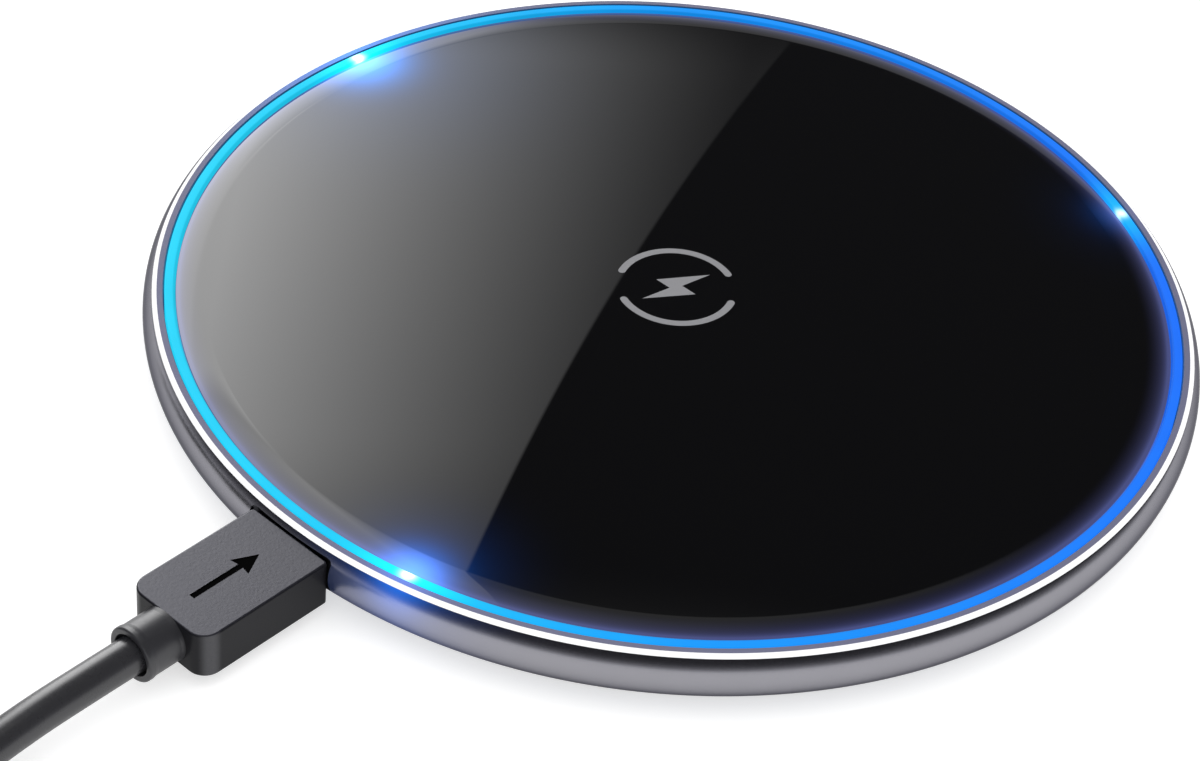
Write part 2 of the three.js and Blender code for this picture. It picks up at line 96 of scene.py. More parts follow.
class Finish:
    """A Principled material that is built node by node on the piece's own coordinates."""

    def __init__(self, name, colour, roughness, **sockets):
        self.material = bpy.data.materials.new(name)
        self.material.use_nodes = True
        self.tree = self.material.node_tree
        self.tree.nodes.clear()
        self.shader = self.node("ShaderNodeBsdfPrincipled")
        output = self.node("ShaderNodeOutputMaterial")
        self.tree.links.new(self.shader.outputs[0], output.inputs["Surface"])
        self.place = self.node("ShaderNodeTexCoord").outputs["Object"]
        self.shader.inputs["Base Color"].default_value = colour
        self.shader.inputs["Roughness"].default_value = roughness
        for socket, value in sockets.items():
            self.shader.inputs[socket.replace("_", " ")].default_value = value

    def node(self, kind, inputs=(), **settings):
        made = self.tree.nodes.new(kind)
        for key, value in settings.items():
            setattr(made, key, value)
        for key, value in dict(inputs).items():
            self.feed(made.inputs[key], value)
        return made

    def feed(self, socket, value):
        if isinstance(value, bpy.types.NodeSocket):
            self.tree.links.new(value, socket)
        else:
            socket.default_value = value

    def math(self, operation, *values):
        return self.node("ShaderNodeMath", enumerate(values), operation=operation).outputs[0]

    def vector(self, operation, *values, output=0, scale=None):
        made = self.node("ShaderNodeVectorMath", enumerate(values), operation=operation)
        if scale is not None:
            self.feed(made.inputs["Scale"], scale)
        return made.outputs[output]

    def noise(self, per_metre, detail=2.0, stretch=None):
        place = self.vector("MULTIPLY", self.place, stretch) if stretch else self.place
        inputs = {"Vector": place, "Scale": per_metre, "Detail": detail}
        return self.node("ShaderNodeTexNoise", inputs).outputs["Fac"]

    def remap(self, value, low, high, to_low, to_high, smooth=False):
        inputs = {"Value": value, "From Min": low, "From Max": high, "To Min": to_low, "To Max": to_high}
        kind = "SMOOTHSTEP" if smooth else "LINEAR"
        return self.node("ShaderNodeMapRange", inputs, interpolation_type=kind).outputs["Result"]

    def mix(self, factor, first, second):
        made = self.node("ShaderNodeMix", data_type="RGBA")
        for index, value in ((0, factor), (6, first), (7, second)):
            self.feed(made.inputs[index], value)
        return made.outputs[2]

    def ramp(self, value, stops):
        made = self.node("ShaderNodeValToRGB", {"Fac": value})
        elements = made.color_ramp.elements
        while len(elements) < len(stops):
            elements.new(0.5)
        for element, (position, colour) in zip(elements, stops):
            element.position, element.color = position, colour
        return made.outputs["Color"]

    def colours(self, factor, first, second):
        self.feed(self.shader.inputs["Base Color"], self.mix(factor, first, second))

    def roughness(self, factor, low, high):
        self.feed(self.shader.inputs["Roughness"], self.remap(factor, 0.25, 0.75, low, high))

    def bump(self, height, metres, strength=1.0):
        inputs = {"Height": height, "Distance": metres, "Strength": strength}
        self.feed(self.shader.inputs["Normal"], self.node("ShaderNodeBump", inputs).outputs["Normal"])

    def radius(self):
        """The distance from the pad's axis, in metres."""
        flat = self.vector("MULTIPLY", self.place, (1, 1, 0))
        return self.vector("LENGTH", flat, output="Value")


PLATE = {"radius": 46.93, "flat": 44.4, "bottom": 5.95, "top": 7.0, "foot": 0.25}
GUIDE = {"inner": 47.05, "outer": 47.97, "top": 6.95, "skirt": 43.2, "low": 5.2, "high": 5.7, "crown": 0.12}
LAMP_ANGLES = (-4.4, 103.3, 242.6)
LAMP_RADIUS = 47.35
# How strongly each lamp's light spreads over what is round it.
LAMP_SPREAD = (1.0, 1.0, 0.11)
FIRST_LAMP = (1.0, 0.0, 0.0)
LAMP_BLUE = (0.01, 0.19, 1.0, 1.0)
# The haze round the first lamp, the brightest one.
LAMP_SKY = (0.0, 0.27, 1.0, 1.0)


def lamp_places():
    angles = [math.radians(a) for a in LAMP_ANGLES]
    return [Vector((LAMP_RADIUS * math.cos(a), LAMP_RADIUS * math.sin(a), GUIDE["top"])) * MM for a in angles]


def lamp_light(finish, reach, weights=LAMP_SPREAD):
    """Light that falls off round each of the three lamps, reaching that many millimetres."""
    total = None
    for place, weight in zip(lamp_places(), weights):
        away = finish.vector("DISTANCE", finish.place, place, output="Value")
        squared = finish.math("POWER", finish.math("DIVIDE", away, reach * MM), 2.0)
        light = finish.math("EXPONENT", finish.math("MULTIPLY", squared, -1.0))
        light = finish.math("MULTIPLY", light, weight)
        total = light if total is None else finish.math("ADD", total, light)
    return total


def glow(finish, *parts):
    """Adds up lights, each a colour and a factor, and gives them to the shader as emission."""
    total = None
    for colour, factor in parts:
        colour = colour if isinstance(colour, bpy.types.NodeSocket) else colour[:3]
        light = finish.vector("SCALE", colour, scale=factor)
        total = light if total is None else finish.vector("ADD", total, light)
    finish.feed(finish.shader.inputs["Emission Color"], total)
    finish.shader.inputs["Emission Strength"].default_value = 1.0


def lamp_haze(finish, colour, reach, strength, weights=LAMP_SPREAD):
    """One part of a glow: the lamps' light in that colour."""
    return colour, finish.math("MULTIPLY", lamp_light(finish, reach, weights), strength)


# The glass's painted glow on its rounded edge, by how far up that edge it is: each colour and the power that
# it rises with.
PAINTED_EDGE_GLOW = (((0.035, 0.038, 0.1, 1), 2.0), ((0.03, 0.04, 0.12, 1), 9.0))
PAINTED_EDGE_GLOW_END = 46.6
# The painted blue glow on the rounded edge near the lamps.
PAINTED_EDGE_BLUE = (0.08, 0.25, 1.0, 1)


def glass_finish():
    made = Finish("black_glass", (0.0018, 0.0018, 0.002, 1), 0.015, IOR=1.5)
    made.roughness(made.noise(60, 3), 0.004, 0.009)
    rise = made.remap(made.radius(), PLATE["flat"] * MM, PAINTED_EDGE_GLOW_END * MM, 0, 1)
    edge = made.remap(rise, 0.0, 0.1, 0, 1, smooth=True)
    # Painted light: the lamps' blue and sky-blue spill and the rounded edge's glow are painted into the glass
    # as emission.
    glow(made, lamp_haze(made, LAMP_BLUE, 2.9, 1.1), lamp_haze(made, LAMP_BLUE, 6.0, 0.13),
         lamp_haze(made, LAMP_SKY, 4.2, 1.45, FIRST_LAMP), lamp_haze(made, LAMP_SKY, 14.0, 0.08, FIRST_LAMP),
         *[(colour, made.math("POWER", rise, power)) for colour, power in PAINTED_EDGE_GLOW],
         (PAINTED_EDGE_BLUE, made.math("MULTIPLY", edge, lamp_light(made, 2.4))))
    return made.material


# The light guide's colour from the picture's right to its left.
GUIDE_COLOURS = ((0.0, srgb(26, 106, 250)), (0.5, srgb(14, 150, 250)),
                 (0.8, srgb(22, 202, 248)), (1.0, srgb(34, 212, 246)))
# How the three lamps colour the guide near them, and how they whiten it right over them.
GUIDE_CYAN, CYAN_REACH, CYAN_WEIGHTS = (0.0, 0.75, 0.9, 1), 4.5, (0.8, 0.7, 0.45)
GUIDE_WHITE, WHITE_REACH, WHITE_WEIGHTS = (2.2, 2.2, 2.2, 1), 0.62, (1, 1, 0.5)
# The guide is dimmer down its inner wall than on its top, and its light starts at that radius.
GUIDE_WALL_LIGHT, GUIDE_LIT_FROM = 0.78, 47.3


def light_guide_finish():
    made = Finish("light_guide", (0.005, 0.03, 0.05, 1), 0.45, Specular_IOR_Level=0.04)
    flat = made.vector("NORMALIZE", made.vector("MULTIPLY", made.place, (1, 1, 0)))
    left = Vector((-RIGHT.x, -RIGHT.y, 0)).normalized()
    across = made.remap(made.vector("DOT_PRODUCT", flat, left, output="Value"), -1, 1, 0, 1)
    lit_from = GUIDE_LIT_FROM * MM
    inner = made.remap(made.radius(), GUIDE["inner"] * MM, lit_from, GUIDE_WALL_LIGHT, 1, smooth=True)
    uneven = made.remap(made.noise(150, 2), 0.2, 0.8, 0.92, 1.06)
    glow(made, (made.ramp(across, GUIDE_COLOURS), made.math("MULTIPLY", inner, uneven)),
         (GUIDE_CYAN, lamp_light(made, CYAN_REACH, CYAN_WEIGHTS)),
         (GUIDE_WHITE, lamp_light(made, WHITE_REACH, WHITE_WEIGHTS)))
    return made.material


def metal_finish(name, colour, roughness, spill=0.0, painted_haze=(0, 0, 0, 1), metallic=1.0, grain=1.0, sky=0.0,
                 **sockets):
    """Brushed metal, with painted light as emission: where lamps shine on it their spilt blue, the first
    one's sky blue, and an even painted haze.
    """
    made = Finish(name, colour, roughness, Metallic=metallic, **sockets)
    fine = made.noise(5200, 3)
    made.colours(made.noise(240, 3), shade(colour, 0.93), colour)
    made.roughness(fine, roughness * 0.85, roughness * 1.15)
    made.bump(fine, 0.000003 * grain, 0.4)
    lights = []
    if spill:
        lights += [lamp_haze(made, LAMP_BLUE, 2.6, spill), lamp_haze(made, LAMP_BLUE, 6.5, spill * 0.12)]
    if sky:
        lights.append(lamp_haze(made, LAMP_SKY, 12.0, sky, FIRST_LAMP))
    if lights:
        glow(made, (painted_haze, 1.0), *lights)
    return made.material


def moulded_finish(name, colour, roughness, grain=2600, depth=0.00002, variation=0.15, **sockets):
    """Moulded plastic with a fine eroded texture, its grain per metre and its depth in metres."""
    made = Finish(name, colour, roughness, **sockets)
    fine, broad = made.noise(grain, 4), made.noise(grain / 12, 2)
    blotches = made.math("MULTIPLY_ADD", fine, 0.6, made.math("MULTIPLY", broad, 0.4))
    made.colours(blotches, shade(colour, 1 - variation), shade(colour, 1 + variation))
    made.roughness(fine, roughness * 0.9, min(1, roughness * 1.1))
    made.bump(fine, depth, 0.6)
    return made.material


SIDE_BLACK, PAINTED_HIGHLIGHT_GREY = (0.009, 0.009, 0.011, 1), (0.07, 0.07, 0.075, 1)
# Painted highlight: a paler grey down the plug's rounded corners, centred on this point.
PAINTED_HIGHLIGHT_CORNER = (4.54, 62.52, 0)


def plug_side_finish():
    """The plug's sides, smoother than its top, with a painted highlight in paler grey down the two rounded
    corners at the cable end.
    """
    made = Finish("plug_side", SIDE_BLACK, 0.3, Specular_IOR_Level=0.13)
    flat = made.vector("MULTIPLY", made.vector("ABSOLUTE", made.place), (1, 1, 0))
    away = made.vector("DISTANCE", flat, Vector(PAINTED_HIGHLIGHT_CORNER) * MM, output="Value")
    highlight_mask = made.remap(away, 0.0002, 0.0012, 1, 0, smooth=True)
    fine = made.noise(4200, 4)
    painted_highlight = made.math("MULTIPLY", highlight_mask, made.remap(fine, 0.2, 0.8, 0.85, 1.0))
    made.colours(painted_highlight, SIDE_BLACK, PAINTED_HIGHLIGHT_GREY)
    made.roughness(fine, 0.27, 0.33)
    made.bump(fine, 0.000006, 0.6)
    return made.material


def plated_finish():
    """Plated steel, drawn along the plug."""
    colour, roughness = (0.55, 0.56, 0.58, 1), 0.28
    made = Finish("steel", colour, roughness, Metallic=1.0)
    drawn = made.noise(900, 3, stretch=(1, 0.06, 1))
    made.colours(drawn, shade(colour, 0.85), colour)
    made.roughness(drawn, roughness * 0.8, roughness * 1.3)
    made.bump(drawn, 0.000004, 0.4)
    return made.material


def copper_finish():
    """Fine enamelled strands that twist round the wire."""
    made = Finish("copper", (0.7, 0.32, 0.12, 1), 0.32, Metallic=0.9)
    inputs = {"Vector": made.place, "Scale": 900, "Distortion": 3, "Detail": 1, "Detail Scale": 2}
    strands = made.node("ShaderNodeTexWave", inputs, bands_direction="DIAGONAL").outputs["Fac"]
    made.colours(strands, (0.45, 0.17, 0.05, 1), (0.85, 0.42, 0.17, 1))
    made.bump(strands, 0.00004, 0.7)
    return made.material


def board_finish():
    """Solder mask over copper tracks."""
    made = Finish("board", (0.01, 0.09, 0.035, 1), 0.35)
    inputs = {"Vector": made.place, "Scale": 420}
    tracks = made.node("ShaderNodeTexVoronoi", inputs, distance="MANHATTAN").outputs["Distance"]
    on_track = made.remap(tracks, 0.42, 0.46, 0, 1, smooth=True)
    made.colours(on_track, (0.006, 0.07, 0.026, 1), (0.02, 0.15, 0.06, 1))
    made.bump(on_track, 0.00003, 0.6)
    return made.material


def speckled_finish(name, colour, speck, roughness, per_metre, depth):
    """A material with specks in it that many to the metre, with its surface uneven by a depth in metres."""
    made = Finish(name, colour, roughness)
    specks = made.remap(made.noise(per_metre, 4), 0.45, 0.62, 0, 1, smooth=True)
    made.colours(specks, colour, speck)
    made.bump(made.noise(per_metre * 1.7, 3), depth, 0.7)
    return made.material


GLASS = glass_finish()
LIGHT_GUIDE = light_guide_finish()
RIM_SIDE = metal_finish("anodised_side", (0.31, 0.307, 0.335, 1), 0.23, 1.0,
                        Specular_Tint=(0.3, 0.3, 0.32, 1))
# Painted light: the land has an even painted blue-grey haze and the lamps' painted glow as emission.
RIM_LAND = metal_finish("anodised_land", (0.1, 0.1, 0.125, 1), 0.5, 0.6, painted_haze=(0.035, 0.04, 0.1, 1),
                        metallic=0.0, sky=0.6, Specular_IOR_Level=0.2)
# Painted highlight: the chamfer is near-white and matt, standing in for the glint of bright-cut metal, with
# the first lamp's painted glow.
RIM_CHAMFER = metal_finish("chamfer_painted_highlight", (0.97, 0.97, 0.98, 1), 0.3, metallic=0.0, grain=0.3, sky=0.3)
# Painted shade: the faces cut for the window and the pocket are far darker than the rim's outside. RIM_LIT,
# on the inner wall, ledge and bore, is as dark, with a painted blue glow from the light guide as emission.
RIM_INSIDE = metal_finish("anodised_inside", (0.06, 0.06, 0.07, 1), 0.5)
RIM_LIT = metal_finish("anodised_lit", (0.06, 0.06, 0.07, 1), 0.5, Emission_Color=(0.01, 0.05, 0.14, 1),
                       Emission_Strength=1.0)
RIM_FINISHES = (RIM_SIDE, RIM_CHAMFER, RIM_LAND, RIM_INSIDE, RIM_LIT)
# Their numbers on the rim's faces.
SIDE, CHAMFER, TOP, INSIDE, LIT = range(5)
PLUG_BODY = moulded_finish("plug_body", (0.01, 0.01, 0.012, 1), 0.33, grain=4200, depth=0.000008)
PLUG_TOP = moulded_finish("plug_top", (0.012, 0.012, 0.017, 1), 0.34, grain=3800, depth=0.000017,
                          Specular_IOR_Level=0.62, Specular_Tint=(0.9, 0.9, 1.0, 1))
PLUG_SIDE = plug_side_finish()
SLEEVE = moulded_finish("sleeve", (0.022, 0.022, 0.026, 1), 0.36, depth=0.000003, Specular_IOR_Level=0.7)
# Painted shade: the pressed-in arrow and the far-end plug's grip bars are painted near black, with no gloss.
PLUG_RECESS_SHADE = moulded_finish("plug_recess_shade", (0.002, 0.002, 0.002, 1), 0.9, Specular_IOR_Level=0.0)
JACKET = moulded_finish("cable_jacket", (0.022, 0.022, 0.025, 1), 0.28, grain=1500, depth=0.000004,
                        Specular_IOR_Level=0.7)
DARK_PLASTIC = moulded_finish("dark_plastic", (0.02, 0.02, 0.024, 1), 0.55, grain=1800, depth=0.00004)
PALE_PLASTIC = moulded_finish("pale_plastic", (0.6, 0.59, 0.56, 1), 0.5, variation=0.05)
RUBBER = moulded_finish("rubber", (0.018, 0.018, 0.019, 1), 0.8, grain=1200, depth=0.00003)
STEEL = plated_finish()
PLUG_FINISHES = (PLUG_SIDE, PLUG_RECESS_SHADE, PLUG_TOP)
# Their numbers on the plug's faces. The far-end plug has the first two, its own black and the recesses'
# painted shade.
BODY, RECESSED, TOP_FACE = range(3)
PRINT = moulded_finish("printed_mark", (0.2, 0.2, 0.21, 1), 0.55, grain=3000, depth=0.000002,
                       variation=0.04, Specular_IOR_Level=0.35)
COPPER = copper_finish()
BOARD = board_finish()
FERRITE = speckled_finish("ferrite", (0.035, 0.034, 0.036, 1), (0.09, 0.088, 0.092, 1), 0.7, 1400, 0.00004)
FOAM = speckled_finish("foam", (0.05, 0.05, 0.053, 1), (0.12, 0.12, 0.125, 1), 0.95, 900, 0.0002)
CERAMIC = speckled_finish("ceramic", (0.38, 0.24, 0.12, 1), (0.46, 0.31, 0.17, 1), 0.5, 1800, 0.00001)
CHIP = speckled_finish("chip", (0.012, 0.012, 0.013, 1), (0.03, 0.03, 0.032, 1), 0.5, 2600, 0.00001)
LED_PACKAGE = speckled_finish("led_package", (0.85, 0.84, 0.76, 1), (0.9, 0.89, 0.84, 1), 0.4, 800, 0.000005)
TAPE = speckled_finish("amber_tape", (0.5, 0.22, 0.03, 1), (0.62, 0.3, 0.06, 1), 0.3, 500, 0.00001)
ADHESIVE = speckled_finish("adhesive", (0.7, 0.69, 0.65, 1), (0.78, 0.77, 0.74, 1), 0.7, 1200, 0.00004)


# ---- Mesh building ----
def rounded(corners, steps=5):
    """A line through corners, each (x, y) or (x, y, radius), with the corners that have a radius rounded."""
    line = []
    for i, corner in enumerate(corners):
        here = Vector(corner[:2])
        if len(corner) < 3 or i in (0, len(corners) - 1):
            line.append(here)
            continue
        before = (Vector(corners[i - 1][:2]) - here).normalized()
        after = (Vector(corners[i + 1][:2]) - here).normalized()
        half = before.angle(after) / 2
        reach = corner[2] / math.tan(half)
        first, last = here + before * reach, here + after * reach
        for k in range(steps + 1):
            t = k / steps
            line.append(first * (1 - t) ** 2 + here * (2 * t * (1 - t)) + last * t ** 2)
    return line


def arc(centre, radii, start, end, steps):
    """Points of an elliptical arc."""
    angles = [math.radians(start + (end - start) * k / steps) for k in range(steps + 1)]
    return [Vector((centre[0] + radii[0] * math.cos(a), centre[1] + radii[1] * math.sin(a))) for a in angles]


def join_rings(mesh, rings, closed=False, capped=True):
    """Faces between rings of points. A ring of one point closes the shape there."""
    made = [[mesh.verts.new(p) for p in ring] for ring in rings]
    for first, second in zip(made, made[1:] + (made[:1] if closed else [])):
        count = max(len(first), len(second))
        for i in range(count):
            j = (i + 1) % count
            a, b = (first[i], first[j]) if len(first) > 1 else (first[0], first[0])
            c, d = (second[j], second[i]) if len(second) > 1 else (second[0], second[0])
            corners = [v for k, v in enumerate((a, b, c, d)) if v not in (a, b, c, d)[:k]]
            mesh.faces.new(corners)
    if capped and not closed:
        for ring in (made[0], made[-1]):
            if len(ring) > 2:
                mesh.faces.new(ring)


def turned(mesh, profile, segments=180, place=Matrix()):
    """A body of revolution about Z from (radius, height) points."""
    rings = []
    for radius, height in profile:
        if radius < 1e-6:
            rings.append([place @ Vector((0, 0, height))])
            continue
        angles = [2 * math.pi * k / segments for k in range(segments)]
        rings.append([place @ Vector((radius * math.cos(a), radius * math.sin(a), height)) for a in angles])
    join_rings(mesh, rings, closed=len(rings[0]) > 1, capped=False)


def footprint(width, front, back, corners, inset=0.0, steps=8):
    """A rounded rectangle in X and Y, with one corner radius at the front (low Y) and one at the back."""
    half = width / 2 - inset
    front, back = front + inset, back - inset
    low, high = (max(0.05, c - inset) for c in corners)
    centres = [(half - low, front + low, low, -90), (half - high, back - high, high, 0),
               (high - half, back - high, high, 90), (low - half, front + low, low, 180)]
    return [p for x, y, r, start in centres for p in arc((x, y), (r, r), start, start + 90, steps)]


def moulding(mesh, width, front, back, corners, low, high, edge, steps=5, edge_steps=4):
    """A block of that footprint with rounded upper and lower edges."""
    rings = []
    for k in range(edge_steps + 1):
        a = math.radians(90 * k / edge_steps)
        rings.append((edge * (1 - math.sin(a)), low + edge * (1 - math.cos(a))))
    rings += [(inset, low + high - height) for inset, height in reversed(rings)]
    join_rings(mesh, [[Vector((x, y, z)) for x, y in footprint(width, front, back, corners, inset, steps)]
                      for inset, z in rings])


def prism(mesh, outline, low, high):
    join_rings(mesh, [[Vector((x, y, z)) for x, y in outline] for z in (low, high)])


def loose(name, mesh, *finishes):
    """A mesh in millimetres as an object that isn't in place yet."""
    bmesh.ops.recalc_face_normals(mesh, faces=mesh.faces)
    data = bpy.data.meshes.new(name)
    mesh.to_mesh(data)
    mesh.free()
    for finish in finishes:
        data.materials.append(finish)
    made = bpy.data.objects.new(name, data)
    bpy.context.scene.collection.objects.link(made)
    return made


def carve(piece, *cutters):
    """Takes the cutters out of the piece. New faces keep the cutters' material numbers."""
    for cutter in cutters:
        cut = piece.modifiers.new("cut", "BOOLEAN")
        cut.operation, cut.solver, cut.object = "DIFFERENCE", "EXACT", cutter
        bpy.context.view_layer.update()
        evaluated = piece.evaluated_get(bpy.context.evaluated_depsgraph_get())
        data = bpy.data.meshes.new_from_object(evaluated)
        piece.modifiers.clear()
        piece.data = data
        bpy.data.objects.remove(cutter)
    return piece


def settle(piece, body, replaces=(), sharp=32, paint=None, weighted=False):
    """Scales a piece to metres, shades it smooth up to that angle, and puts it on its body."""
    mesh = bmesh.new()
    mesh.from_mesh(piece.data)
    bmesh.ops.recalc_face_normals(mesh, faces=mesh.faces)
    for face in mesh.faces:
        face.smooth = True
        if paint:
            face.material_index = paint(face.calc_center_median(), face.normal, face.material_index)
    for edge in mesh.edges:
        edge.smooth = edge.calc_face_angle(0) < math.radians(sharp)
    bmesh.ops.transform(mesh, matrix=Matrix.Scale(MM, 4), verts=mesh.verts)
    mesh.to_mesh(piece.data)
    mesh.free()
    if weighted:
        piece.modifiers.new("weighted", "WEIGHTED_NORMAL").keep_sharp = True
    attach(piece, body)
    if replaces:
        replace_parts(piece, *replaces)
    return piece


ON_Y = Matrix.Rotation(math.radians(-90), 4, "X")


# ---- The rim ----
BULGE = {"centre": (47.69, 4.54), "radii": (2.31, 2.78), "lowest": -78, "highest": 52}
LAND = {"inner": 48.07, "outer": 48.67, "height": 7.0, "ledge": 5.1, "bore": 46.4, "bevel": 0.05}
PORT_WINDOW = {"width": 8.4, "low": 2.3, "high": 5.3, "near": 44, "far": 60, "corner": 0.7}
POCKET = {"width": 10.0, "low": 1.0, "high": 6.35, "near": 49.25, "far": 60, "corner": 0.5}
# The faces round the big turned pieces, and how near a face is to a surface that it counts as part of.
ROUND, NEAR = 288, 0.01


def slot_cutter(name, slot):
    """A bar along Y with rounded edges, to cut a slot in the rim with."""
    low, high, radius = slot["low"], slot["high"], slot["corner"]
    half, middle = slot["width"] / 2, (low + high) / 2
    outline = []
    for x, z, start in ((half, high, 0), (-half, high, 90), (-half, low, 180), (half, low, 270)):
        centre = (x - math.copysign(radius, x), z - math.copysign(radius, z - middle))
        outline += arc(centre, (radius, radius), start, start + 90, 5)
    mesh = bmesh.new()
    join_rings(mesh, [[Vector((x, y, z)) for x, z in outline] for y in (slot["near"], slot["far"])])
    for face in mesh.faces:
        face.material_index = INSIDE
    return loose(name, mesh, *RIM_FINISHES)


def make_rim():
    side = arc(BULGE["centre"], BULGE["radii"], BULGE["lowest"], BULGE["highest"], 30)
    inner, top, ledge, bevel = (LAND[k] for k in ("inner", "height", "ledge", "bevel"))
    profile = [Vector((LAND["bore"], side[0].y)), *side, Vector((LAND["outer"], top)),
               Vector((inner + bevel, top)), Vector((inner, top - bevel)),
               Vector((inner, ledge)), Vector((LAND["bore"], ledge))]
    mesh = bmesh.new()
    turned(mesh, profile, ROUND)
    rim = loose("rim", mesh, *RIM_FINISHES)
    carve(rim, slot_cutter("window", PORT_WINDOW), slot_cutter("pocket", POCKET))
    chamfer_foot = side[-1]

    def paint(centre, normal, index):
        if index == INSIDE:
            return INSIDE
        radius = math.hypot(centre.x, centre.y)
        if radius < inner + bevel - NEAR:
            return LIT
        if centre.z > top - NEAR:
            return TOP
        return CHAMFER if centre.z > chamfer_foot.y and radius > LAND["outer"] else SIDE

    return settle(rim, "pad", ["housing_frame"], sharp=25, paint=paint)


# ---- The glass, its mark and the light ring ----
ROLL = {"steps": 24, "inset": 0.04, "slope": 0.03, "drop": 0.31, "power": 1.75, "edge": 0.06}


def make_glass():
    """The glass, flat in the middle and rolled over towards its edge."""
    radius, flat, top = PLATE["radius"], PLATE["flat"], PLATE["top"]
    low, foot = PLATE["bottom"], PLATE["foot"]
    roll = []
    for k in range(ROLL["steps"] + 1):
        t = k / ROLL["steps"]
        height = top - ROLL["slope"] * t - ROLL["drop"] * t ** ROLL["power"]
        roll.append(Vector((flat + (radius - ROLL["inset"] - flat) * t, height)))
    profile = [Vector((0, low)), Vector((radius - foot, low)), Vector((radius, low + foot)),
               Vector((radius, roll[-1].y - ROLL["edge"])), *reversed(roll), Vector((0, top))]
    mesh = bmesh.new()
    turned(mesh, profile, ROUND)
    return settle(loose("glass", mesh, GLASS), "pad", ["glass_top"], sharp=30)


MARK = {"radius": 5.5, "line": 0.72, "gap": 46, "middles": (135, 315), "low": 6.999, "high": 7.012}
BOLT = ((0.95, 3.75), (-2.0, -0.5), (-0.3, -0.5), (-0.95, -3.75), (2.0, 0.6), (0.3, 0.6))


def make_mark():
    """A lightning bolt in a broken ring, printed on the glass."""
    mesh = bmesh.new()
    prism(mesh, BOLT, MARK["low"], MARK["high"])
    half, radius = MARK["line"] / 2, MARK["radius"]
    for middle in MARK["middles"]:
        start, end = middle - 90 + MARK["gap"] / 2, middle + 90 - MARK["gap"] / 2
        outline = arc((0, 0), (radius + half,) * 2, start, end, 40)
        for angle, turn in ((end, end), (start, start + 180)):
            tip = (radius * math.cos(math.radians(angle)), radius * math.sin(math.radians(angle)))
            outline += arc(tip, (half, half), turn, turn + 180, 6)
            if angle == end:
                outline += list(reversed(arc((0, 0), (radius - half,) * 2, start, end, 40)))
        prism(mesh, outline, MARK["low"], MARK["high"])
    return settle(loose("glass_mark", mesh, PRINT), "pad")


LEG = {"radius": 44.3, "width": 3.0, "depth": 1.4, "bottom": 3.4}


def make_light_guide():
    """The ring that shows, its skirt under the glass, and a leg down to each lamp."""
    inner, outer, top, crown = (GUIDE[k] for k in ("inner", "outer", "top", "crown"))
    head = rounded([(outer, GUIDE["low"]), (outer, top, crown), (inner, top, crown), (inner, GUIDE["high"])])
    skirt = [Vector((GUIDE["skirt"], GUIDE[k])) for k in ("low", "high")]
    mesh = bmesh.new()
    turned(mesh, [skirt[0], *head, skirt[1]], ROUND)
    for angle in LAMP_ANGLES:
        leg = bmesh.new()
        half = LEG["depth"] / 2
        moulding(leg, LEG["width"], -half, half, (0.2, 0.2), LEG["bottom"], GUIDE["low"] + 0.1, 0.1)
        turn = Matrix.Rotation(math.radians(angle - 90), 4, "Z")
        turn = turn @ Matrix.Translation((0, LEG["radius"], 0))
        bmesh.ops.transform(leg, matrix=turn, verts=leg.verts)
        data = bpy.data.meshes.new("leg")
        leg.to_mesh(data)
        leg.free()
        mesh.from_mesh(data)
        bpy.data.meshes.remove(data)
    return settle(loose("light_guide", mesh, LIGHT_GUIDE), "pad", ["light_guide_ring"])


FOOT = {"inner": 33.0, "outer": 43.0, "top": 1.0, "edge": 0.25}
GROOVE = {"count": 6, "depth": 0.18, "width": 0.6, "lip": 0.08, "root": 0.06, "slant": 0.1}


def make_foot():
    """The anti-slip ring, with round grooves in its underside."""
    pitch = (FOOT["outer"] - FOOT["inner"]) / (GROOVE["count"] + 1)
    half, depth, lip, root = GROOVE["width"] / 2, GROOVE["depth"], GROOVE["lip"], GROOVE["root"]
    corners = [(FOOT["inner"], FOOT["top"]), (FOOT["inner"], 0, FOOT["edge"])]
    for k in range(1, GROOVE["count"] + 1):
        middle = FOOT["inner"] + k * pitch
        corners += [(middle - half, 0, lip), (middle - half + GROOVE["slant"], depth, root),
                    (middle + half - GROOVE["slant"], depth, root), (middle + half, 0, lip)]
    corners += [(FOOT["outer"], 0, FOOT["edge"]), (FOOT["outer"], FOOT["top"])]
    mesh = bmesh.new()
    turned(mesh, rounded(corners, 3), 144)
    return settle(loose("foot_ring", mesh, RUBBER), "pad", ["anti_slip_ring"])


# ---- The plug in the pad ----
PLUG = {"axis": 3.8, "front": 49.4, "back": 63.53, "width": 9.41, "tall": 4.7, "corners": (0.4, 1.75),
        "edge": 0.22}
ARROW = {"tip": 53.0, "tail": 60.6, "head": 2.3, "half_head": 1.15, "half_shaft": 0.3, "barb": 0.15,
         "depth": 0.15}
SOCKET = {"width": 7.15, "tall": 2.1, "root": 52.35, "corner": 0.1}
# How far a cutter stands out of the face that it cuts, and how far up a face of the plug's top has to look.
CLEAR, UPWARD = 1, 0.7


